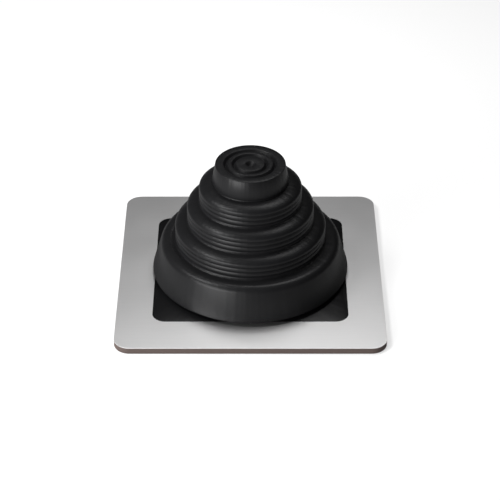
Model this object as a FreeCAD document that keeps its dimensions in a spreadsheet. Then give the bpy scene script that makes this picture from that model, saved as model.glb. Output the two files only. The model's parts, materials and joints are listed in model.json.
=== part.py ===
"""Pipe flashing boot: a stepped EPDM cone that seals a round pipe where it comes through a metal roof.

Three pieces make it up. The rubber boot is one moulding: a closed cap, three ribbed rings, a conical
skirt, and a flange below it. The aluminium frame is a flat sheet whose window sits in the groove
between skirt and flange, as a panel does in a grommet. The sealing pad is a soft butyl sheet that
the flange is let into, and it lies on the roof. Lengths are millimetres, +Z is up and the origin is
the middle of the pad's underside.
"""

import FreeCAD
import Part
import Sketcher
import math
import os

SIZES = [
    # the square base
    ("base_width", 203.2, "side of the square base"),
    ("corner_radius", 12.0, "outer corners of frame and pad"),
    ("pad_thickness", 5.0, "sealing pad"),
    ("frame_thickness", 0.5, "aluminium sheet"),
    ("window_radius", 10.0, "corners of the frame's window"),
    ("window_gap", 0.3, "play round the panel and round the flange"),
    ("flange_lap", 11.5, "how far the flange reaches under the frame"),
    ("flange_thickness", 2.5, "rubber flange below the frame"),
    ("pad_opening_step", 2.0, "how far the pad's opening stands back from the mouth"),
    # the rubber wall
    ("wall", 3.0, "rubber wall of rings, skirt and neck"),
    ("disc_thickness", 3.5, "rubber over the closed end"),
    # radii, from the smallest ring outwards
    ("ring_radius", 38.6, "outer wall of the smallest ring, between its ribs"),
    ("ring_step", 9.4, "from one ring to the next"),
    ("skirt_step", 11.0, "from the largest ring to the skirt's rim"),
    ("skirt_taper", 7.8, "from the skirt's rim to its foot"),
    ("side_overhang", 2.0, "skirt's foot past the window's left and right edges"),
    ("front_overhang", 6.8, "skirt's foot past the window's front and back edges"),
    ("neck_margin", 1.2, "from the window's nearest edge in to the neck"),
    ("cap_step", 9.4, "from the smallest ring in to the cap's foot"),
    ("cap_taper", 2.6, "from the cap's foot in to its rim"),
    # heights, from the frame upwards
    ("foot_gap", 3.0, "skirt's foot above the frame"),
    ("skirt_height", 30.1, "skirt's rim above the frame"),
    ("cap_height", 16.1, "cap's disc above the smallest ring's rim"),
    ("cap_neck", 2.0, "short neck between the cap and its tread"),
    ("cap_lip", 0.8, "how far the cap overhangs its neck"),
    # each ring from its rim down: a round nose, then the ribs, then a hollow corner
    ("nose_round", 6.0, "outer edge of each ring"),
    ("nose_drop", 4.0, "height of that edge, from the ring's rim to its first rib"),
    ("rib_pitch", 3.8, "from rib to rib"),
    ("rib_height", 0.6, "rib's crest above the wall"),
    ("valley_round", 1.45, "inner corner below each ring"),
    # other rounded edges
    ("skirt_round", 6.0, "skirt's rim"),
    ("foot_round", 1.2, "skirt's foot"),
    ("cap_round", 0.5, "cap's rim"),
    ("inside_round", 1.5, "corners of the hollow"),
    # marks in the closed end
    ("groove_margin", 7.9, "from the cap's rim in to the middle of the first groove"),
    ("groove_spacing", 6.3, "from the first groove in to the second"),
    ("groove_width", 3.2, "groove at the disc's face"),
    ("groove_floor", 1.6, "groove at its bottom"),
    ("groove_depth", 2.2, "groove"),
    ("dimple_radius", 3.6, "centre dimple"),
    ("dimple_depth", 2.4, "centre dimple"),
]

RINGS = 3
RIBS = 3
OUT = "out"
IN = "in"
SAME = 0.01  # edges closer than this to a wanted radius and height are the wanted ones
UP = FreeCAD.Vector(0, 0, 1)

# Heights and radii that several features share, as expressions on the sheet.
FRAME_TOP = "Sizes.pad_thickness + Sizes.frame_thickness"
FLANGE_BOTTOM = "Sizes.pad_thickness - Sizes.flange_thickness"
FOOT_HEIGHT = f"{FRAME_TOP} + Sizes.foot_gap"
SKIRT_RIM = f"{FRAME_TOP} + Sizes.skirt_height"
RING_HEIGHT = f"(Sizes.nose_drop + {RIBS} * Sizes.rib_pitch + Sizes.valley_round)"
DISC_TOP = f"{SKIRT_RIM} + {RINGS} * {RING_HEIGHT} + Sizes.cap_height"
SKIRT_RADIUS = f"Sizes.ring_radius + {RINGS - 1} * Sizes.ring_step + Sizes.skirt_step"
FOOT_RADIUS = f"{SKIRT_RADIUS} + Sizes.skirt_taper"
NECK_RADIUS = f"{FOOT_RADIUS} - max(Sizes.side_overhang; Sizes.front_overhang) - Sizes.neck_margin"
MOUTH_RADIUS = f"{NECK_RADIUS} - Sizes.wall"
CAP_FOOT_RADIUS = "Sizes.ring_radius - Sizes.cap_step"
CAP_RADIUS = f"{CAP_FOOT_RADIUS} - Sizes.cap_taper"
OUTER_GROOVE = f"{CAP_RADIUS} - Sizes.groove_margin"
WINDOW = (f"2 * ({FOOT_RADIUS} - Sizes.side_overhang)", f"2 * ({FOOT_RADIUS} - Sizes.front_overhang)")

# A nose is less than a quarter round: how far in from the wall it starts, and a rib's radius.
NOSE_REACH = "sqrt(2 * Sizes.nose_round * Sizes.nose_drop - Sizes.nose_drop ^ 2)"
RIB_ROUND = "(Sizes.rib_pitch ^ 2 / 4 + Sizes.rib_height ^ 2) / (2 * Sizes.rib_height)"


def ring_radius(ring):
    """Outer wall of a ring between its ribs; ring 0 is the smallest."""
    return f"Sizes.ring_radius + {ring} * Sizes.ring_step"


def ring_rim(ring):
    """Height of a ring's rim; the ring after the last is the skirt."""
    return f"{SKIRT_RIM} + {RINGS - ring} * {RING_HEIGHT}"


def widened(outline, margin):
    """The two sides of an outline that stands back from another by a margin all round."""
    return tuple(f"{side} + 2 * ({margin})" for side in outline)


def plane(body, role):
    return next(item for item in body.Origin.OriginFeatures if item.Role == role)


def sketch_on(body, name, role, lift="0"):
    """A sketch on one of the body's own origin planes, lifted along the plane's normal."""
    sketch = body.newObject("Sketcher::SketchObject", name)
    sketch.AttachmentSupport = [(plane(body, role), "")]
    sketch.MapMode = "FlatFace"
    sketch.setExpression("AttachmentOffset.Base.z", lift)
    return sketch


def measure(expression):
    """The number that an expression on the sheet stands for."""
    return float(sheet.evalExpression(expression))


def bind(sketch, constraint, expression):
    """Add a constraint whose size follows an expression."""
    index = sketch.addConstraint(constraint)
    sketch.setExpression(f"Constraints[{index}]", expression)


def place(sketch, item, point, across, up):
    """Hold a point of a sketch at two expressions, measured from the origin."""
    for direction, expression in (("DistanceX", across), ("DistanceY", up)):
        size = measure(expression)
        bind(sketch, Sketcher.Constraint(direction, -1, 1, item, point, size), expression)


def draw_outline(sketch, corners):
    """A closed outline, drawn clockwise. Each corner is a radius and a height. Where the side that
    follows it is an arc, the corner also gives OUT or IN, the way it bulges, and its radius."""
    points = [FreeCAD.Vector(measure(corner[0]), measure(corner[1]), 0) for corner in corners]
    first = sketch.GeometryCount
    ends = []
    for start, end, corner in zip(points, points[1:] + points[:1], corners):
        if len(corner) == 2:
            sketch.addGeometry(Part.LineSegment(start, end))
            ends.append((1, 2))
            continue
        side, radius = corner[2], measure(corner[3])
        if side == OUT:
            start, end = end, start
        chord = end - start
        rise = math.sqrt(radius ** 2 - chord.Length ** 2 / 4)
        centre = (start + end) / 2 + UP.cross(chord).normalize() * rise
        angles = [math.atan2(point.y - centre.y, point.x - centre.x) for point in (start, end)]
        sketch.addGeometry(Part.ArcOfCircle(Part.Circle(centre, UP, radius), *angles))
        ends.append((2, 1) if side == OUT else (1, 2))
    for number, corner in enumerate(corners):
        item, begin = first + number, ends[number][0]
        before = (number - 1) % len(corners)
        sketch.addConstraint(Sketcher.Constraint("Coincident", first + before, ends[before][1], item, begin))
        place(sketch, item, begin, corner[0], corner[1])
        if len(corner) == 4:
            bind(sketch, Sketcher.Constraint("Radius", item, measure(corner[3])), corner[3])


def draw_round(sketch, across, up, radius):
    """A circle whose centre and radius are expressions."""
    centre = FreeCAD.Vector(measure(across), measure(up), 0)
    item = sketch.addGeometry(Part.Circle(centre, UP, measure(radius)))
    place(sketch, item, 3, across, up)
    bind(sketch, Sketcher.Constraint("Radius", item, measure(radius)), radius)


def draw_rounded_rectangle(sketch, sides, radius):
    """A rectangle with round corners, centred on the origin; its sides are a width and a depth."""
    width, depth = (measure(side) for side in sides)
    bend = measure(radius)
    first = sketch.GeometryCount
    for turn in range(4):
        along, across = (width, depth) if turn % 2 == 0 else (depth, width)
        turned = FreeCAD.Rotation(UP, 90 * turn)
        start = turned.multVec(FreeCAD.Vector(bend - along / 2, -across / 2, 0))
        end = turned.multVec(FreeCAD.Vector(along / 2 - bend, -across / 2, 0))
        middle = turned.multVec(FreeCAD.Vector(along / 2 - bend, bend - across / 2, 0))
        corner = Part.Circle(middle, UP, bend)
        sketch.addGeometry(Part.LineSegment(start, end))
        sketch.addGeometry(Part.ArcOfCircle(corner, math.radians(90 * turn - 90), math.radians(90 * turn)))
    lines = [first + 2 * turn for turn in range(4)]
    for turn, line in enumerate(lines):
        following = lines[(turn + 1) % 4]
        sketch.addConstraint(Sketcher.Constraint("Tangent", line, 2, line + 1, 1))
        sketch.addConstraint(Sketcher.Constraint("Tangent", line + 1, 2, following, 1))
        sketch.addConstraint(Sketcher.Constraint("Vertical" if turn % 2 else "Horizontal", line))
        if turn:
            sketch.addConstraint(Sketcher.Constraint("Equal", first + 1, line + 1))
    front, right, back, left = lines
    sketch.addConstraint(Sketcher.Constraint("Symmetric", front, 1, back, 1, -1, 1))
    bind(sketch, Sketcher.Constraint("Radius", front + 1, bend), radius)
    bind(sketch, Sketcher.Constraint("DistanceX", left, 1, right, 1, width), sides[0])
    bind(sketch, Sketcher.Constraint("DistanceY", front, 1, back, 1, depth), sides[1])


def spin(body, kind, name, sketch):
    """Turn a section about the upright axis, to add (Revolution) or to cut (Groove)."""
    feature = body.newObject(f"PartDesign::{kind}", name)
    feature.Profile = sketch
    feature.ReferenceAxis = (sketch, ["V_Axis"])
    feature.Angle = 360
    sketch.Visibility = False
    doc.recompute()
    return feature


def pad(body, name, sketch, length):
    """Raise a flat outline by an expression."""
    feature = body.newObject("PartDesign::Pad", name)
    feature.Profile = sketch
    feature.setExpression("Length", length)
    sketch.Visibility = False
    doc.recompute()
    return feature


def pocket(body, name, sketch, length):
    """Sink a flat outline downwards by an expression."""
    feature = body.newObject("PartDesign::Pocket", name)
    feature.Profile = sketch
    feature.setExpression("Length", length)
    sketch.Visibility = False
    doc.recompute()
    return feature


def circles_at(shape, spots):
    """Names of the round edges at the given radii and heights."""
    wanted = [(measure(across), measure(up)) for across, up in spots]
    found = []
    for number, edge in enumerate(shape.Edges, start=1):
        if not isinstance(edge.Curve, Part.Circle):
            continue
        radius, height = edge.Curve.Radius, edge.Curve.Center.z
        if any(abs(radius - r) < SAME and abs(height - z) < SAME for r, z in wanted):
            found.append(f"Edge{number}")
    return found


def fillet(body, name, radius, spots):
    """Round the edges at the given radii and heights."""
    base = body.Tip
    edges = circles_at(base.Shape, spots)
    if len(edges) != len(spots):
        raise RuntimeError(f"{name} found {len(edges)} edges of {len(spots)}")
    feature = body.newObject("PartDesign::Fillet", name)
    feature.Base = (base, edges)
    feature.setExpression("Radius", radius)
    doc.recompute()
    return feature


def new_body(label):
    body = doc.addObject("PartDesign::Body", label)
    body.Label = label
    body.Placement = FreeCAD.Placement()
    return body


def rubber_boot():
    """The one-piece EPDM moulding, from its flange up to its closed disc."""
    body = new_body("rubber_boot")

    # The stepped cone is one section turned about the axis: cap, rings, skirt, and the neck below it.
    lip_height = f"{ring_rim(0)} + Sizes.cap_neck"
    cap_neck_radius = f"{CAP_FOOT_RADIUS} - Sizes.cap_lip"
    steps = [
        ("0", DISC_TOP),
        (CAP_RADIUS, DISC_TOP),
        (CAP_FOOT_RADIUS, lip_height),
        (cap_neck_radius, lip_height),
        (cap_neck_radius, ring_rim(0)),
    ]
    for ring in range(RINGS):
        wall, rim = ring_radius(ring), ring_rim(ring)
        steps.append((f"{wall} - {NOSE_REACH}", rim, OUT, "Sizes.nose_round"))
        for rib in range(RIBS):
            steps.append((wall, f"{rim} - Sizes.nose_drop - {rib} * Sizes.rib_pitch", OUT, RIB_ROUND))
        valley = f"{ring_rim(ring + 1)} + Sizes.valley_round"
        steps.append((wall, valley, IN, "Sizes.valley_round"))
        steps.append((f"{wall} + Sizes.valley_round", ring_rim(ring + 1)))
    steps += [
        (SKIRT_RADIUS, SKIRT_RIM),
        (FOOT_RADIUS, FOOT_HEIGHT),
        (NECK_RADIUS, FOOT_HEIGHT),
        (NECK_RADIUS, FLANGE_BOTTOM),
        ("0", FLANGE_BOTTOM),
    ]
    cone = sketch_on(body, "ConeSection", "XZ_Plane")
    draw_outline(cone, steps)
    spin(body, "Revolution", "SteppedCone", cone)
    fillet(body, "SkirtRim", "Sizes.skirt_round", [(SKIRT_RADIUS, SKIRT_RIM)])
    fillet(body, "SkirtFoot", "Sizes.foot_round", [(FOOT_RADIUS, FOOT_HEIGHT)])
    fillet(body, "CapRim", "Sizes.cap_round", [(CAP_RADIUS, DISC_TOP)])

    # The flange under the frame, and the raised panel that fills the frame's window.
    flange = sketch_on(body, "FlangeOutline", "XY_Plane", FLANGE_BOTTOM)
    flange_radius = "Sizes.window_radius + Sizes.flange_lap"
    draw_rounded_rectangle(flange, widened(WINDOW, "Sizes.flange_lap"), flange_radius)
    pad(body, "Flange", flange, "Sizes.flange_thickness")
    panel = sketch_on(body, "PanelOutline", "XY_Plane", FLANGE_BOTTOM)
    panel_radius = "Sizes.window_radius - Sizes.window_gap"
    draw_rounded_rectangle(panel, widened(WINDOW, "-Sizes.window_gap"), panel_radius)
    pad(body, "Panel", panel, "Sizes.flange_thickness + Sizes.frame_thickness")

    # The hollow follows the steps. Inside each ring it is a true cylinder, which grips a pipe.
    hollow_steps = [
        ("0", f"{DISC_TOP} - Sizes.disc_thickness"),
        (f"{CAP_RADIUS} - Sizes.wall", f"{DISC_TOP} - Sizes.disc_thickness"),
        (f"{CAP_FOOT_RADIUS} - Sizes.wall", f"{ring_rim(0)} - Sizes.wall"),
    ]
    for ring in range(RINGS):
        hollow_steps.append((f"{ring_radius(ring)} - Sizes.wall", f"{ring_rim(ring)} - Sizes.wall"))
        hollow_steps.append((f"{ring_radius(ring)} - Sizes.wall", f"{ring_rim(ring + 1)} - Sizes.wall"))
    hollow_steps += [
        (f"{SKIRT_RADIUS} - Sizes.wall", f"{SKIRT_RIM} - Sizes.wall"),
        (f"{FOOT_RADIUS} - Sizes.wall", f"{FOOT_HEIGHT} + Sizes.wall"),
        (MOUTH_RADIUS, f"{FOOT_HEIGHT} + Sizes.wall"),
        (MOUTH_RADIUS, "0"),
        ("0", "0"),
    ]
    hollow = sketch_on(body, "HollowSection", "XZ_Plane")
    draw_outline(hollow, hollow_steps)
    spin(body, "Groove", "Hollow", hollow)
    fillet(body, "HollowCorners", "Sizes.inside_round", hollow_steps[1:-3])

    # Two ring grooves and a dimple in the closed disc mark where it is cut for thinner pipes.
    marks = sketch_on(body, "DiscMarks", "XZ_Plane")
    draw_outline(marks, [
        ("0", DISC_TOP),
        ("Sizes.dimple_radius", DISC_TOP),
        ("0", f"{DISC_TOP} - Sizes.dimple_depth"),
    ])
    for middle in (OUTER_GROOVE, f"{OUTER_GROOVE} - Sizes.groove_spacing"):
        draw_outline(marks, [
            (f"{middle} - Sizes.groove_width / 2", DISC_TOP),
            (f"{middle} + Sizes.groove_width / 2", DISC_TOP),
            (f"{middle} + Sizes.groove_floor / 2", f"{DISC_TOP} - Sizes.groove_depth"),
            (f"{middle} - Sizes.groove_floor / 2", f"{DISC_TOP} - Sizes.groove_depth"),
        ])
    spin(body, "Groove", "DiscGrooves", marks)
    return body


def aluminium_frame():
    """The flat sheet that holds the boot down, with a window for the cone."""
    body = new_body("aluminium_frame")
    sheet_outline = sketch_on(body, "FrameOutline", "XY_Plane", "Sizes.pad_thickness")
    draw_rounded_rectangle(sheet_outline, ["Sizes.base_width"] * 2, "Sizes.corner_radius")
    draw_rounded_rectangle(sheet_outline, WINDOW, "Sizes.window_radius")
    pad(body, "Sheet", sheet_outline, "Sizes.frame_thickness")
    return body


def sealing_pad():
    """The soft sheet between frame and roof, with a seat for the flange and an opening for the pipe."""
    body = new_body("sealing_pad")
    outline = sketch_on(body, "PadOutline", "XY_Plane")
    draw_rounded_rectangle(outline, ["Sizes.base_width"] * 2, "Sizes.corner_radius")
    draw_round(outline, "0", "0", f"{MOUTH_RADIUS} + Sizes.pad_opening_step")
    pad(body, "Slab", outline, "Sizes.pad_thickness")
    seat = sketch_on(body, "FlangeSeat", "XY_Plane", "Sizes.pad_thickness")
    seat_margin = "Sizes.flange_lap + Sizes.window_gap"
    draw_rounded_rectangle(seat, widened(WINDOW, seat_margin), f"Sizes.window_radius + {seat_margin}")
    pocket(body, "Seat", seat, "Sizes.flange_thickness")
    return body


def check_features():
    """Stop if a feature failed, or if a cut took nothing away."""
    for item in doc.Objects:
        if {"Invalid", "Error"} & set(item.State):
            raise RuntimeError(f"{item.Name} failed: {item.State}")
        if item.isDerivedFrom("PartDesign::Pocket") or item.isDerivedFrom("PartDesign::Groove"):
            if item.Shape.Volume >= item.BaseFeature.Shape.Volume:
                raise RuntimeError(f"{item.Name} cuts nothing")


def export(bodies):
    """Write one STEP file for each piece, once all of them are sound."""
    for body in bodies:
        if body.Shape.isNull() or not body.Shape.isValid() or len(body.Shape.Solids) != 1:
            raise RuntimeError(f"{body.Label} isn't one valid solid")
    os.makedirs("parts", exist_ok=True)
    for body in bodies:
        body.Shape.exportStep(f"parts/{body.Label}.step")
        box = body.Shape.BoundBox
        print(f"{body.Label}: {box.XLength:.1f} x {box.YLength:.1f} x {box.ZLength:.1f} mm,"
              f" {body.Shape.Volume / 1000:.1f} cm3")


doc = FreeCAD.newDocument("pipe_flashing_boot")
sheet = doc.addObject("Spreadsheet::Sheet", "Sizes")
for row, (alias, size, note) in enumerate(SIZES, start=1):
    sheet.set(f"A{row}", alias)
    sheet.set(f"B{row}", str(size))
    sheet.setAlias(f"B{row}", alias)
    sheet.set(f"C{row}", note)
doc.recompute()

pieces = [rubber_boot(), aluminium_frame(), sealing_pad()]
doc.recompute()
check_features()
export(pieces)
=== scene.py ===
# %% [markdown]
# # A pipe flashing boot
#
# This boot seals a round pipe where it comes up through a metal roof. A stepped cone of EPDM
# rubber rises through a thin aluminium frame, and a soft butyl pad below them beds on the roof.
# The cone's closed end is cut off where a step fits the pipe.
#
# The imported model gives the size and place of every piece. It is loaded first and never moved.
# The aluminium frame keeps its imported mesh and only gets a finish. The two soft pieces, boot and
# pad, are modelled again with smooth curves and softened edges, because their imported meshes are
# built for weight and contact rather than for looks.

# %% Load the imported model
import json
import math

import bmesh
import bpy
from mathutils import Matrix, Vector

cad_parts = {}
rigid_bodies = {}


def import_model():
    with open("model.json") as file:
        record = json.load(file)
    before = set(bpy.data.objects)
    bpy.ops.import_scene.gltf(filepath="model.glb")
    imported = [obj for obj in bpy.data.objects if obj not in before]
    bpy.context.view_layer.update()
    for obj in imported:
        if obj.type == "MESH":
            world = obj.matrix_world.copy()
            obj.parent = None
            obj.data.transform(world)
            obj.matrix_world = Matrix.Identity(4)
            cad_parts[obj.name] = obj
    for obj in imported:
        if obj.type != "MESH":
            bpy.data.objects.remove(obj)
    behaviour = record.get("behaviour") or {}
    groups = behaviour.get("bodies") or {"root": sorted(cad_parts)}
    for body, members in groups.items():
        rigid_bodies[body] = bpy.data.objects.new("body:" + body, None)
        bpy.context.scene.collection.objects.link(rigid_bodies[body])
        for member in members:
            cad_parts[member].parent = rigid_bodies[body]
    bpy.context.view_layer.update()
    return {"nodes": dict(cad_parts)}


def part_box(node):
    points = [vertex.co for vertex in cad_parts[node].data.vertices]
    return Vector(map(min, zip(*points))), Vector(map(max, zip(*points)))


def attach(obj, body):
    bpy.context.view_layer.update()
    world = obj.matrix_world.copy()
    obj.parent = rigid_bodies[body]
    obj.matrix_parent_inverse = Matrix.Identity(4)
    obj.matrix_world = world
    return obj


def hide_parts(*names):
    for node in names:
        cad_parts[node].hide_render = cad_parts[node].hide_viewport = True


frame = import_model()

print("packed pieces:", sorted(frame["nodes"]))

# %% [markdown]
# ## Where the pieces lie
#
# A drawing of a moulded part is read in millimetres, and Blender works in metres. The sizes in
# this lesson are therefore written in millimetres, and one function turns a length into metres
# where a mesh is made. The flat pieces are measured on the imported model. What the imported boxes
# can't tell, such as the steps of the cone, is named once and the rest follows from it.
#
# The ring radius is that of the top ring, and each ring below it is one step wider. The skirt is
# one wider step out, and tapers out to its foot. The cap is one step in, and tapers in to its top.

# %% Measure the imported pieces
def mm(length):
    """A length in millimetres, in metres."""
    return length / 1000


def millimetres(place):
    """A place in metres, in millimetres."""
    return [1000 * value for value in place]


boot_low, boot_high = (millimetres(place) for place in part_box("rubber_boot"))
frame_low, frame_high = (millimetres(place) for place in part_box("aluminium_frame"))
pad_low, pad_high = (millimetres(place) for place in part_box("sealing_pad"))
FLANGE_BOTTOM, DISC_TOP = boot_low[2], boot_high[2]
FRAME_TOP, PAD_TOP = frame_high[2], pad_high[2]
FLANGE_SIDES = (boot_high[0] - boot_low[0], boot_high[1] - boot_low[1])
BASE_SIDES = (pad_high[0] - pad_low[0], pad_high[1] - pad_low[1])
print(f"in mm: pad top {PAD_TOP:.2f}, frame top {FRAME_TOP:.2f}, disc {DISC_TOP:.2f}")

# %% Heights of the cone
RINGS = 3
RIBS = 3
RIB_PITCH = 4.0
SHOULDER_DROP = 3.06
VALLEY_DROP = 1.79
SKIRT_HEIGHT = 30.1
RING_HEIGHT = SHOULDER_DROP + RIBS * RIB_PITCH + VALLEY_DROP
SKIRT_RIM = FRAME_TOP + SKIRT_HEIGHT
TOP_RIM = SKIRT_RIM + RINGS * RING_HEIGHT
print(f"in mm: skirt rim {SKIRT_RIM:.2f}, ring height {RING_HEIGHT:.2f}, top rim {TOP_RIM:.2f}")

# %% Radii of the cone
WALL = 3.0
RING_RADIUS = 38.6
RING_STEP = 9.4
SKIRT_STEP = 11.0
SKIRT_TAPER = 7.8
NECK_INSET = 8.0
CAP_TAPER = 2.6
SKIRT_RADIUS = RING_RADIUS + (RINGS - 1) * RING_STEP + SKIRT_STEP
FOOT_RADIUS = SKIRT_RADIUS + SKIRT_TAPER
NECK_RADIUS = FOOT_RADIUS - NECK_INSET
MOUTH_RADIUS = NECK_RADIUS - WALL
CAP_FOOT_RADIUS = RING_RADIUS - RING_STEP
CAP_RADIUS = CAP_FOOT_RADIUS - CAP_TAPER
print(f"radii in mm: cap {CAP_RADIUS:.1f}, skirt {SKIRT_RADIUS:.1f}, mouth {MOUTH_RADIUS:.1f}")

# %% [markdown]
# ## The camera
#
# A boot like this is shown from the front and well above, so that the steps, the closed end and
# the square base are all seen. A long lens from over a metre away keeps the sides of the base
# nearly parallel. The camera is placed first, because every later choice of light is judged
# through it.

# %% Camera
CAMERA_PLACE = (-0.0003, -1.159, 0.836)
CAMERA_TILT = math.radians(35.06)
LENS_MM = 131.04
SENSOR_MM = 36

bpy.ops.object.camera_add(location=CAMERA_PLACE, rotation=(math.pi / 2 - CAMERA_TILT, 0, 0))
camera = bpy.context.object
camera.name = "camera"
camera.data.lens = LENS_MM
camera.data.sensor_width = SENSOR_MM
bpy.context.scene.camera = camera
print("camera distance in m:", round(Vector(CAMERA_PLACE).length, 3))

# %% [markdown]
# ## Helpers for materials
#
# A procedural material is a small graph of nodes. One function fills a node's sockets, and
# another adds a node with its settings and links. A third turns a colour written as a hex code,
# as paint and plastic charts give it, into the linear numbers that the renderer mixes.
#
# A noise pattern hardly leaves the span between 0.3 and 0.7, so that span is stretched to a whole
# range. A Mix node has sockets for each kind of value, and its sockets are given by number here:
# 0 is the factor, 2 and 3 are its two numbers, and 6 and 7 its two colours.

# %% Node and colour helpers
NOISE_SPAN = {"From Min": 0.3, "From Max": 0.7}


def linear(hex_code):
    """Linear RGBA of an sRGB hex colour."""
    values = [int(hex_code[start:start + 2], 16) / 255 for start in (1, 3, 5)]
    return [v / 12.92 if v <= 0.04045 else ((v + 0.055) / 1.055) ** 2.4 for v in values] + [1.0]


def fill(tree, node, inputs):
    """Fill a node's sockets, each with a number or a colour, or with a link from a socket."""
    for name, value in inputs.items():
        if isinstance(value, bpy.types.NodeSocket):
            tree.links.new(value, node.inputs[name])
        else:
            node.inputs[name].default_value = value


def add(tree, kind, settings=None, inputs=None):
    """Add a node, set its properties, and fill its sockets."""
    node = tree.nodes.new(kind)
    for name, value in (settings or {}).items():
        setattr(node, name, value)
    fill(tree, node, inputs or {})
    return node


def new_material(name):
    """A material with an empty principled surface; returns it, its tree and that shader."""
    material = bpy.data.materials.new(name)
    material.use_nodes = True
    shader = material.node_tree.nodes["Principled BSDF"]
    return material, material.node_tree, shader


print("middle grey in linear light:", round(linear("#808080")[0], 3))

# %% [markdown]
# ## EPDM rubber
#
# EPDM is filled with carbon black and pressed in a heated steel mould. The mould was blasted, so
# the skin is satin: a very dark grey with wide, soft reflections. The reflections sit in a thin
# coat that covers the matt rubber only in part, and so the sides don't glare where they are seen
# at a slant.
#
# Three patterns break the skin up. A fine grain comes from the blasted steel. A slow ripple runs
# down the walls, where the mould was polished along its draft, and it splits a tall reflection
# into soft streaks. Slow clouds shift the grey and the gloss a little, as in any pressed rubber.
# Grain and ripple could be cut into the mesh, but they are far finer than its faces, so they are
# bump. The flange below the skirt is duller, and its colour is painted darker as the shade under
# the skirt.

# %% Rubber values
GRAIN_MM = 0.35
GRAIN_COARSER = 4  # The grain is drawn this much wider than it is, or it wouldn't show.
GRAIN_DEPTH_MM = 0.03
GRAIN_STRENGTH = 0.35
CLOUD_MM = 9.0
STREAKS_ROUND = 22.0
STREAK_DEPTH_MM = 0.25
FLANGE_ROUGHNESS = 0.75
SKIN_ROUGHNESS = {"To Min": 0.34, "To Max": 0.39}
SHEEN_SHARE = 0.28
SHEEN_ROUGHNESS = 0.365
# Below these heights the flange is matt, and its colour is painted darker as shade.
SKIN_START = mm(FRAME_TOP + 0.2)
SKIN_FULL = mm(FRAME_TOP + 0.6)
print("the grain is drawn", GRAIN_MM * GRAIN_COARSER, "mm wide")


# %% Rubber material
def rubber_patterns(tree, place):
    """The grain, the clouds, and the ripple round the axis."""
    grain = add(tree, "ShaderNodeTexNoise", None, {
        "Vector": place, "Scale": 1000 / GRAIN_MM / GRAIN_COARSER, "Detail": 2.0})
    cloud = add(tree, "ShaderNodeTexNoise", None, {
        "Vector": place, "Scale": 1000 / CLOUD_MM, "Detail": 3.0})

    # Round the axis only the direction counts, so the ripple is the same all down a wall.
    flat = add(tree, "ShaderNodeVectorMath", {"operation": "MULTIPLY"}, {0: place, 1: (1, 1, 0)})
    direction = add(tree, "ShaderNodeVectorMath", {"operation": "NORMALIZE"}, {0: flat.outputs[0]})
    ripple = add(tree, "ShaderNodeTexNoise", None, {
        "Vector": direction.outputs[0], "Scale": STREAKS_ROUND / 2, "Detail": 1.0})
    return grain.outputs["Fac"], cloud.outputs["Fac"], ripple.outputs["Fac"]


def epdm_rubber():
    """Matt dark rubber under a thin satin coat; the flange is painted darker as shade under the
    skirt.
    """
    material, tree, shader = new_material("moulded_epdm_rubber")
    place = add(tree, "ShaderNodeTexCoord").outputs["Object"]
    grain, cloud, ripple = rubber_patterns(tree, place)
    height = add(tree, "ShaderNodeSeparateXYZ", None, {"Vector": place}).outputs["Z"]
    above_shaded_flange = add(tree, "ShaderNodeMapRange", None, {
        "Value": height, "From Min": SKIN_START, "From Max": SKIN_FULL}).outputs["Result"]

    satin = add(tree, "ShaderNodeMapRange", None, {
        "Value": cloud, **NOISE_SPAN, **SKIN_ROUGHNESS}).outputs["Result"]
    roughness = add(tree, "ShaderNodeMix", {"data_type": "FLOAT"}, {
        0: above_shaded_flange, 2: FLANGE_ROUGHNESS, 3: satin})
    skin_colour = add(tree, "ShaderNodeMix", {"data_type": "RGBA"}, {
        0: cloud, 6: linear("#131314"), 7: linear("#171718")})
    # Painted shade: the flange below the frame's top is coloured darker, as the shade under the
    # skirt.
    colour = add(tree, "ShaderNodeMix", {"data_type": "RGBA"}, {
        0: above_shaded_flange, 6: linear("#0b0b0c"), 7: skin_colour.outputs[2]})

    ripple_bump = add(tree, "ShaderNodeBump", None, {
        "Height": ripple, "Strength": 1.0, "Distance": mm(STREAK_DEPTH_MM)})
    bump = add(tree, "ShaderNodeBump", None, {
        "Height": grain, "Strength": GRAIN_STRENGTH, "Distance": mm(GRAIN_DEPTH_MM),
        "Normal": ripple_bump.outputs[0]})

    fill(tree, shader, {
        "Roughness": roughness.outputs[0], "Base Color": colour.outputs[2],
        "Normal": bump.outputs[0], "Coat Normal": bump.outputs[0],
        "Specular IOR Level": 0.0, "Coat Weight": SHEEN_SHARE, "Coat Roughness": SHEEN_ROUGHNESS})
    return material


rubber = epdm_rubber()
print(rubber.name, "has", len(rubber.node_tree.nodes), "nodes")

# %% [markdown]
# ## Rolled aluminium
#
# The frame is cut from soft aluminium strip that the installer can dress down over roof ribs. It
# leaves the mill with a satin face and faint lines along the way it was rolled. A metal's colour
# is all in its reflection, so the face is as bright as what it mirrors: bright towards the light
# and grey away from it. The lines could be modelled as strips, but a noise pattern that is drawn
# out fifty times along x gives them without one face more.

# %% Aluminium material
ROLL_LINE_MM = 0.6
ROLL_STRETCH = (0.02, 1.0, 1.0)
ROLL_DEPTH_MM = 0.01
ROLL_STRENGTH = 0.15
ROLL_CLOUD_MM = 100 / 3
ROLL_ROUGHNESS = {"To Min": 0.395, "To Max": 0.41}


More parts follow.
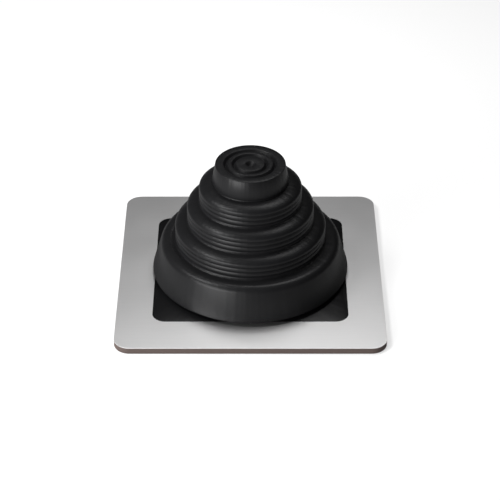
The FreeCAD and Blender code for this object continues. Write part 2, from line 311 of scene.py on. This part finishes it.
def rolled_aluminium():
    """Satin metal with faint lines along the way it was rolled."""
    material, tree, shader = new_material("mill_finish_aluminium")
    place = add(tree, "ShaderNodeTexCoord").outputs["Object"]
    stretched = add(tree, "ShaderNodeMapping", None, {"Vector": place, "Scale": ROLL_STRETCH})
    lines = add(tree, "ShaderNodeTexNoise", None, {
        "Vector": stretched.outputs[0], "Scale": 1000 / ROLL_LINE_MM,
        "Detail": 3.0}).outputs["Fac"]
    cloud = add(tree, "ShaderNodeTexNoise", None, {
        "Vector": place, "Scale": 1000 / ROLL_CLOUD_MM, "Detail": 2.0}).outputs["Fac"]
    roughness = add(tree, "ShaderNodeMapRange", None, {
        "Value": cloud, **NOISE_SPAN, **ROLL_ROUGHNESS})
    bump = add(tree, "ShaderNodeBump", None, {
        "Height": lines, "Strength": ROLL_STRENGTH, "Distance": mm(ROLL_DEPTH_MM)})
    colour = add(tree, "ShaderNodeMix", {"data_type": "RGBA"}, {
        0: lines, 6: linear("#dcdcdc"), 7: linear("#e4e3e3")})
    fill(tree, shader, {
        "Roughness": roughness.outputs["Result"], "Normal": bump.outputs[0],
        "Base Color": colour.outputs[2], "Metallic": 1.0})
    return material


aluminium = rolled_aluminium()
print(aluminium.name, "has", len(aluminium.node_tree.nodes), "nodes")

# %% [markdown]
# ## Butyl pad
#
# Butyl sealant is a soft, matt, brown-grey compound rolled into a sheet. It never shines, and its
# surface is finely pitted where the release film was pulled off. From above only its edge shows,
# so the pits are a fine noise in bump and colour: dents in the mesh would need far more faces
# than they are worth.

# %% Butyl material
PIT_MM = 0.8
PIT_COARSER = 2  # The pits are drawn this much wider than they are, or they wouldn't show.
PIT_DEPTH_MM = 0.1
PIT_STRENGTH = 0.4
BUTYL_ROUGHNESS = {"To Min": 0.75, "To Max": 0.9}


def butyl_sealant():
    """Matt, brown-grey and finely pitted."""
    material, tree, shader = new_material("rolled_butyl_sealant")
    place = add(tree, "ShaderNodeTexCoord").outputs["Object"]
    pits = add(tree, "ShaderNodeTexNoise", None, {
        "Vector": place, "Scale": 1000 / PIT_MM / PIT_COARSER, "Detail": 3.0}).outputs["Fac"]
    colour = add(tree, "ShaderNodeMix", {"data_type": "RGBA"}, {
        0: pits, 6: linear("#493d39"), 7: linear("#504440")})
    bump = add(tree, "ShaderNodeBump", None, {
        "Height": pits, "Strength": PIT_STRENGTH, "Distance": mm(PIT_DEPTH_MM)})
    roughness = add(tree, "ShaderNodeMapRange", None, {
        "Value": pits, **NOISE_SPAN, **BUTYL_ROUGHNESS})
    fill(tree, shader, {
        "Base Color": colour.outputs[2], "Normal": bump.outputs[0],
        "Roughness": roughness.outputs["Result"]})
    return material


butyl = butyl_sealant()
print(butyl.name, "has", len(butyl.node_tree.nodes), "nodes")

# %% [markdown]
# ## Drawing a section
#
# The cone was turned on a lathe as a mould, so it is modelled as a lathe would cut it: a section
# is drawn point by point, and then spun about the upright axis. A corner of the section can be
# rounded, and the side after it can bulge out or in. Both are arcs, and their points come from
# one function. It steps by a fixed angle, but never by less than the shortest useful edge.

# %% Section helpers
ARC_STEP = math.radians(9)
SHORTEST = 0.3


def corner(across, up, rounding=0.0, bulge=0.0):
    """A corner of a section, its rounding, and the radius of the arc after it: + bulges out."""
    return {"at": Vector((across, up)), "rounding": rounding, "bulge": bulge}


def arc(start, end, radius, clockwise):
    """Points after the start of an arc, up to its end."""
    chord = end - start
    half = min(chord.length / 2, radius)
    aside = Vector((-chord.y, chord.x)).normalized() * math.sqrt(radius ** 2 - half ** 2)
    centre = (start + end) / 2 + (-aside if clockwise else aside)
    sweep = 2 * math.asin(half / radius) * (-1 if clockwise else 1)
    count = max(2, min(round(abs(sweep) / ARC_STEP), int(abs(sweep) * radius / SHORTEST)))
    first = math.atan2(start.y - centre.y, start.x - centre.x)
    angles = [first + sweep * step / count for step in range(1, count + 1)]
    return [centre + radius * Vector((math.cos(angle), math.sin(angle))) for angle in angles]


def trace(corners):
    """All points of an open section, with its roundings and bulges worked out."""
    points = []
    for number, here in enumerate(corners):
        if here["rounding"]:
            back = (corners[number - 1]["at"] - here["at"]).normalized()
            ahead = (corners[number + 1]["at"] - here["at"]).normalized()
            reach = here["rounding"] / math.tan(back.angle(ahead) / 2)
            start, end = here["at"] + back * reach, here["at"] + ahead * reach
            clockwise = back.x * ahead.y - back.y * ahead.x > 0
            points += [start] + arc(start, end, here["rounding"], clockwise)
        else:
            points.append(here["at"])
        if here["bulge"]:
            end = corners[number + 1]["at"]
            points += arc(here["at"], end, abs(here["bulge"]), here["bulge"] > 0)[:-1]
    return points


print("an arc turns by at most", round(math.degrees(ARC_STEP)), "degrees a step")

# %% [markdown]
# ## Working in edit mode
#
# Each modelling step acts on what is selected. The first helpers pick edges by where they lie,
# which is what a hand does with a lasso: all open edges at one height. The next ones spin a
# section or raise a wall with round corners. The last two start a piece and finish it. A flat ring
# with a round hole in a square plate could be a boolean cut, but a bridge between two loops with
# equally many points gives clean, even faces.

# %% Helpers that select and close
ROUND_STEPS = 192
LEVEL_WITHIN = 0.02


def select_open_edges(height):
    """Select the open edges that lie level at a height, and nothing else."""
    mesh = bmesh.from_edit_mesh(bpy.context.object.data)
    bpy.ops.mesh.select_all(action="DESELECT")
    count = 0
    for edge in mesh.edges:
        level = all(abs(vertex.co.z - mm(height)) < mm(LEVEL_WITHIN) for vertex in edge.verts)
        if level and len(edge.link_faces) < 2:
            edge.select_set(True)
            count += 1
    mesh.select_flush_mode()
    bmesh.update_edit_mesh(bpy.context.object.data)
    return count


def bridge(height):
    """Close the flat gap between the two open loops that lie at one height."""
    count = select_open_edges(height)
    bpy.ops.mesh.bridge_edge_loops()
    print(f"  bridged {count} edges at {height:.2f} mm")


def face_island(inwards):
    """Turn the faces of the piece of skin just made, towards the axis or away from it."""
    bpy.ops.mesh.select_linked()
    bpy.ops.mesh.normals_make_consistent(inside=inwards)


print("a full turn has", ROUND_STEPS, "steps")


# %% Helpers that make skin
def spin_section(corners, inwards=False):
    """Draw a section as a chain of edges and spin it about the upright axis."""
    points = [Vector((mm(point.x), 0, mm(point.y))) for point in trace(corners)]
    bpy.ops.mesh.select_all(action="DESELECT")
    bpy.ops.mesh.primitive_plane_add(size=mm(1))
    bpy.ops.mesh.merge(type="CENTER")
    bpy.ops.transform.translate(value=points[0])
    for start, end in zip(points, points[1:]):
        bpy.ops.mesh.extrude_region_move(TRANSFORM_OT_translate={"value": end - start})
    bpy.ops.mesh.select_linked()
    bpy.ops.mesh.spin(steps=ROUND_STEPS, angle=math.tau, center=(0, 0, 0), axis=(0, 0, 1))
    face_island(inwards)
    print(f"  spun {len(points)} points")


def add_wall(sides, radius, start, end, inwards=False):
    """A wall with round corners from one height to another, in as many steps as a circle."""
    corner_steps = ROUND_STEPS // 4 - 1
    bpy.ops.mesh.select_all(action="DESELECT")
    bpy.ops.mesh.primitive_plane_add(size=1, location=(0, 0, mm(start)))
    bpy.ops.transform.resize(value=(mm(sides[0]), mm(sides[1]), 1))
    bpy.ops.mesh.bevel(offset=mm(radius), segments=corner_steps, profile=0.5, affect="VERTICES")
    bpy.ops.mesh.delete(type="ONLY_FACE")
    count = select_open_edges(start)
    bpy.ops.mesh.extrude_edges_move(TRANSFORM_OT_translate={"value": (0, 0, mm(end - start))})
    face_island(inwards)
    print(f"  wall of {count} edges from {start:.2f} to {end:.2f} mm")


# %% Helpers that start and finish a piece
MERGE_WITHIN = 0.002
SOFT_SEGMENTS = 2


def start_piece(name):
    """An empty mesh object in edit mode, ready to take primitives."""
    bpy.ops.object.select_all(action="DESELECT")
    bpy.ops.mesh.primitive_plane_add(size=mm(1))
    bpy.context.object.name = name
    bpy.ops.object.mode_set(mode="EDIT")
    bpy.ops.mesh.delete(type="VERT")
    return bpy.context.object


def finish_piece(piece, crease, softness, material):
    """Close seams, face outwards, soften the creases, and hand the piece over to the frame."""
    bpy.ops.mesh.select_all(action="SELECT")
    bpy.ops.mesh.remove_doubles(threshold=mm(MERGE_WITHIN))
    bpy.ops.mesh.normals_make_consistent(inside=False)
    bpy.ops.object.mode_set(mode="OBJECT")
    bpy.ops.object.modifier_add(type="BEVEL")
    bevel = piece.modifiers[-1]
    bevel.limit_method = "ANGLE"
    bevel.angle_limit = math.radians(crease)
    bevel.width = mm(softness)
    bevel.segments = SOFT_SEGMENTS
    bpy.ops.object.modifier_apply(modifier=bevel.name)
    bpy.ops.object.shade_smooth_by_angle(angle=math.radians(crease))
    piece.data.materials.append(material)
    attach(piece, "root")
    print(f"{piece.name}: {len(piece.data.polygons)} faces")


print("a softened crease has", SOFT_SEGMENTS, "segments")

# %% [markdown]
# ## The rubber boot
#
# The boot is one moulding. Its outside runs from a dimple in the closed end, over two grooves that
# guide a knife, down the cap and three ribbed rings, and out over the skirt. Its inside follows
# 3 mm behind. Below the skirt a neck passes through the frame's window, and a flange spreads out
# under the frame. Outside and inside are spun first, and flat bridges then join them through the
# flange, so that the mesh is one closed skin.

# %% Closed end
DIMPLE_RADIUS = 3.9
DIMPLE_FLOOR = 1.5
DIMPLE_DEPTH = 3.0
DIMPLE_ROUND = 0.6
GROOVE_WIDTH = 3.4
GROOVE_DEPTH = 2.8
GROOVE_INSET = 7.9
GROOVE_PITCH = 6.3
GROOVE_ROUNDS = (0.4, 0.5, 0.6)
DISC_ROUND = 0.5
OUTER_GROOVE = CAP_RADIUS - GROOVE_INSET
INNER_GROOVE = OUTER_GROOVE - GROOVE_PITCH


def closed_end():
    """The disc from its centre out: dimple, two grooves, and the rim."""
    corners = [
        corner(0, DISC_TOP - DIMPLE_DEPTH),
        corner(DIMPLE_FLOOR, DISC_TOP - DIMPLE_DEPTH, rounding=DIMPLE_ROUND),
        corner(DIMPLE_RADIUS, DISC_TOP, rounding=DIMPLE_ROUND),
    ]
    for groove in (INNER_GROOVE, OUTER_GROOVE):
        across = (groove - GROOVE_WIDTH / 2, groove, groove + GROOVE_WIDTH / 2)
        heights = (DISC_TOP, DISC_TOP - GROOVE_DEPTH, DISC_TOP)
        corners += [corner(*values) for values in zip(across, heights, GROOVE_ROUNDS)]
    corners.append(corner(CAP_RADIUS, DISC_TOP, rounding=DISC_ROUND))
    return corners


outside = closed_end()
print("closed end:", len(outside), "corners")

# %% Cap
CAP_LIP = 0.8
CAP_NECK = 2.0
CAP_FOOT_ROUND = 0.3
CAP_NECK_ROUND = 0.6


def cap_wall():
    """The cap's wall, which overhangs a short neck."""
    neck = CAP_FOOT_RADIUS - CAP_LIP
    return [
        corner(CAP_FOOT_RADIUS, TOP_RIM + CAP_NECK, rounding=CAP_FOOT_ROUND),
        corner(neck, TOP_RIM + CAP_NECK),
        corner(neck, TOP_RIM, rounding=CAP_NECK_ROUND),
    ]


outside += cap_wall()
print("with the cap:", len(outside), "corners")

# %% Rings
SHOULDER_WIDTH = 7.76
SHOULDER_ROUND = 14.7
RIB_HEIGHT = 0.6
RIB_ROUND = (RIB_PITCH ** 2 / 4 + RIB_HEIGHT ** 2) / (2 * RIB_HEIGHT)
VALLEY_WIDTH = RING_STEP - SHOULDER_WIDTH
VALLEY_ROUND = 1.8


def ring_wall(ring):
    """One ring from its rim down: a sloping shoulder, the ribs, and the hollow it stands in."""
    wall = RING_RADIUS + ring * RING_STEP
    rim = TOP_RIM - ring * RING_HEIGHT
    corners = [corner(wall - SHOULDER_WIDTH, rim, bulge=SHOULDER_ROUND)]
    for rib in range(RIBS):
        corners.append(corner(wall, rim - SHOULDER_DROP - rib * RIB_PITCH, bulge=RIB_ROUND))
    corners.append(corner(wall, rim - RING_HEIGHT + VALLEY_DROP, bulge=-VALLEY_ROUND))
    if ring == RINGS - 1:
        corners.append(corner(wall + VALLEY_WIDTH, rim - RING_HEIGHT))
    return corners


for ring in range(RINGS):
    outside += ring_wall(ring)
print("with the rings:", len(outside), "corners")

# %% Skirt
FOOT_GAP = 3.0
SKIRT_ROUND = 6.0
FOOT_ROUND = 1.2


def skirt_wall():
    """The skirt down to its foot, and back in to the neck that passes through the frame."""
    foot = FRAME_TOP + FOOT_GAP
    return [
        corner(SKIRT_RADIUS, SKIRT_RIM, rounding=SKIRT_ROUND),
        corner(FOOT_RADIUS, foot, rounding=FOOT_ROUND),
        corner(NECK_RADIUS, foot),
        corner(NECK_RADIUS, FRAME_TOP),
    ]


outside += skirt_wall()
print("with the skirt:", len(outside), "corners")

# %% Inside of the cone
INSIDE_ROUND = 1.5
DISC_THICKNESS = 3.5


def inside_section():
    """The hollow from the mouth up: under the skirt, up each ring, and across the closed end."""
    ledge = FRAME_TOP + FOOT_GAP + WALL
    corners = [
        corner(MOUTH_RADIUS, FLANGE_BOTTOM),
        corner(MOUTH_RADIUS, ledge),
        corner(FOOT_RADIUS - WALL, ledge, rounding=INSIDE_ROUND),
        corner(SKIRT_RADIUS - WALL, SKIRT_RIM - WALL, rounding=INSIDE_ROUND),
    ]
    for ring in reversed(range(RINGS)):
        bore = RING_RADIUS + ring * RING_STEP - WALL
        rim = TOP_RIM - ring * RING_HEIGHT
        corners.append(corner(bore, rim - RING_HEIGHT - WALL, rounding=INSIDE_ROUND))
        corners.append(corner(bore, rim - WALL, rounding=INSIDE_ROUND))
    ceiling = DISC_TOP - DISC_THICKNESS
    corners.append(corner(CAP_FOOT_RADIUS - WALL, TOP_RIM - WALL, rounding=INSIDE_ROUND))
    corners.append(corner(CAP_RADIUS - WALL, ceiling, rounding=INSIDE_ROUND))
    corners.append(corner(0, ceiling))
    return corners


inside = inside_section()
print("inside section:", len(inside), "corners")

# %% Model the boot
WINDOW_GAP = 0.3
WINDOW_ROUND = 10.0
FLANGE_LAP = 11.5
BOOT_CREASE = 28
BOOT_SOFTNESS = 0.22
PANEL_SIDES = tuple(side - 2 * (FLANGE_LAP + WINDOW_GAP) for side in FLANGE_SIDES)

boot = start_piece("moulded_boot")
add_wall(PANEL_SIDES, WINDOW_ROUND - WINDOW_GAP, FRAME_TOP, PAD_TOP)
add_wall(FLANGE_SIDES, WINDOW_ROUND + FLANGE_LAP, FLANGE_BOTTOM, PAD_TOP)
spin_section(outside)
spin_section(inside, inwards=True)
bridge(FRAME_TOP)
bridge(PAD_TOP)
bridge(FLANGE_BOTTOM)
finish_piece(boot, BOOT_CREASE, BOOT_SOFTNESS, rubber)
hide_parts("rubber_boot")

# %% [markdown]
# ## Ticks on the skirt's tread
#
# The mould leaves small raised marks on the flat of the skirt. Here they are plain ticks, one long
# and three short in turn. One group is modelled, and copies of it are turned about the upright
# axis. They start just below the tread, so that they grow out of the rubber.

# %% Model the ticks
TICK_WIDTH = 0.5
TICK_HEIGHT = 0.35
TICK_SUNK = 0.2
TICK_RADIUS = 61.0
TICK_LENGTHS = (2.6, 1.6, 1.6, 1.6)
TICK_TOP = (0.9, 0.5, 1)
TICK_STEP = math.radians(1.9)
TICK_GROUPS = 7
TICK_START = math.radians(156)
TICK_CREASE = 50
TICK_SOFTNESS = 0.08


def turn_about_axis(angle):
    """Turn what is selected about the upright axis."""
    bpy.ops.transform.rotate(value=-angle, orient_axis="Z", center_override=(0, 0, 0))


def add_tick(length, angle):
    """A short bar along the radius, with sloping sides."""
    rise = TICK_SUNK + TICK_HEIGHT
    bpy.ops.mesh.select_all(action="DESELECT")
    bpy.ops.mesh.primitive_plane_add(size=1)
    bpy.ops.transform.resize(value=(mm(length), mm(TICK_WIDTH), 1))
    bpy.ops.transform.translate(value=(mm(TICK_RADIUS), 0, mm(SKIRT_RIM - TICK_SUNK)))
    bpy.ops.mesh.extrude_region_move(TRANSFORM_OT_translate={"value": (0, 0, mm(rise))})
    bpy.ops.transform.resize(value=TICK_TOP)
    bpy.ops.mesh.select_linked()
    turn_about_axis(angle)


ticks = start_piece("tread_ticks")
for number, length in enumerate(TICK_LENGTHS):
    add_tick(length, TICK_START + number * TICK_STEP)
bpy.ops.mesh.select_all(action="SELECT")
for _ in range(TICK_GROUPS - 1):
    bpy.ops.mesh.duplicate()
    turn_about_axis(len(TICK_LENGTHS) * TICK_STEP)
finish_piece(ticks, TICK_CREASE, TICK_SOFTNESS, rubber)

# %% [markdown]
# ## The butyl pad
#
# The pad is a flat sheet with a round opening and a shallow seat that takes the flange. Its loops
# are bridged as in the boot. Its edges are soft, because the sealant is cut with a knife and then
# handled.

# %% Model the pad
BASE_ROUND = 12.0
PAD_STEP = 2.0
PAD_CREASE = 60
PAD_SOFTNESS = 0.5
SEAT_SIDES = tuple(side + 2 * WINDOW_GAP for side in FLANGE_SIDES)
pad_opening = [corner(MOUTH_RADIUS + PAD_STEP, height) for height in (0, FLANGE_BOTTOM)]

pad = start_piece("butyl_pad")
add_wall(BASE_SIDES, BASE_ROUND, 0, PAD_TOP)
add_wall(SEAT_SIDES, WINDOW_ROUND + FLANGE_LAP + WINDOW_GAP, FLANGE_BOTTOM, PAD_TOP, inwards=True)
spin_section(pad_opening, inwards=True)
bridge(0)
bridge(FLANGE_BOTTOM)
bridge(PAD_TOP)
finish_piece(pad, PAD_CREASE, PAD_SOFTNESS, butyl)
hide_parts("sealing_pad")

# %% [markdown]
# ## The frame's finish
#
# The frame is one thin sheet with a window for the boot's neck. It could be modelled again as the
# boot is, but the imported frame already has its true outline, so only its material changes.

# %% Finish the frame
sheet = frame["nodes"]["aluminium_frame"]
for material_slot in sheet.material_slots:
    material_slot.material = aluminium
print("frame thickness in mm:", round(frame_high[2] - frame_low[2], 2))

# %% [markdown]
# ## Floor
#
# A pale table shows the object best. A backdrop could curve up behind it, but from a camera this
# high a flat table fills the whole view. Its own colour is a pale grey, so that it sends little
# light up at the object's sides. A glow that only the camera and reflections see lifts it to a
# clean white, and it still takes the object's soft shadow.

# %% Floor
FLOOR_SIZE = 8.0
FLOOR_GLOW = 0.52


def pale_floor():
    """A matt table whose glow only the camera and reflections see."""
    material, tree, shader = new_material("white_table")
    ray = add(tree, "ShaderNodeLightPath")
    seen = add(tree, "ShaderNodeMath", {"operation": "ADD", "use_clamp": True}, {
        0: ray.outputs["Is Camera Ray"], 1: ray.outputs["Is Glossy Ray"]})
    seen = add(tree, "ShaderNodeMath", {"operation": "ADD", "use_clamp": True}, {
        0: seen.outputs[0], 1: ray.outputs["Is Transmission Ray"]})
    glow = add(tree, "ShaderNodeMath", {"operation": "MULTIPLY"}, {
        0: seen.outputs[0], 1: FLOOR_GLOW})
    fill(tree, shader, {
        "Base Color": linear("#bcbcbc"), "Roughness": 1.0, "Specular IOR Level": 0.0,
        "Emission Color": (1, 1, 1, 1), "Emission Strength": glow.outputs[0]})
    return material


bpy.ops.mesh.primitive_plane_add(size=FLOOR_SIZE)
floor = bpy.context.object
floor.name = "floor"
floor.data.materials.append(pale_floor())
print("the floor is", FLOOR_SIZE, "m wide")

# %% [markdown]
# ## Light
#
# Black rubber shows its form by what it mirrors, so each softbox draws its own highlight. One lamp
# high at the back runs along the far edges and makes the metal pale. Five on the left draw bright
# arcs over the shoulders and the skirt. A lamp's power follows from its brightness and its area,
# so that its size can change while its reflection stays as bright. The world adds a dim, even
# light, so that no side is lost.

# %% Lights
SKY_STRENGTH = 0.04
LAMP_AIM = (0, 0, 0.05)
LAMP_SIDES = (0.3, 0.3)
LEFT_LAMPS = {
    "high_left": ((-0.56, -0.08, 0.87), 24.0),
    "low_left": ((-0.73, -0.68, 0.17), 18.0),
    "low_front": ((-0.47, -0.88, 0.17), 16.0),
    "middle_left": ((-0.68, -0.63, 0.42), 10.0),
    "upper_left": ((-0.81, -0.45, 0.42), 7.0),
}


def softbox(name, place, brightness, sides=LAMP_SIDES, aim=LAMP_AIM):
    """A rectangular lamp that faces a point on the object; its power fits its brightness."""
    place = Vector(place)
    turn = (Vector(aim) - place).to_track_quat("-Z", "Y").to_euler()
    bpy.ops.object.light_add(type="AREA", location=place, rotation=turn)
    lamp = bpy.context.object
    lamp.name = name
    lamp.data.shape = "RECTANGLE"
    lamp.data.size, lamp.data.size_y = sides
    lamp.data.energy = brightness * math.pi * sides[0] * sides[1]
    print(f"{name}: {lamp.data.energy:.1f} W, {place.length:.2f} m away")


def sky(strength):
    """An even, dim surround."""
    world = bpy.data.worlds.new("studio")
    bpy.context.scene.world = world
    world.use_nodes = True
    background = world.node_tree.nodes["Background"]
    fill(world.node_tree, background, {"Color": (1, 1, 1, 1), "Strength": strength})


sky(SKY_STRENGTH)
softbox("overhead_back", (0.10, 0.30, 0.80), 7.8, sides=(0.5, 0.3), aim=(0, 0, 0))
for lamp_name, (lamp_place, lamp_brightness) in LEFT_LAMPS.items():
    softbox(lamp_name, lamp_place, lamp_brightness)
bpy.context.scene.view_settings.view_transform = "Standard"
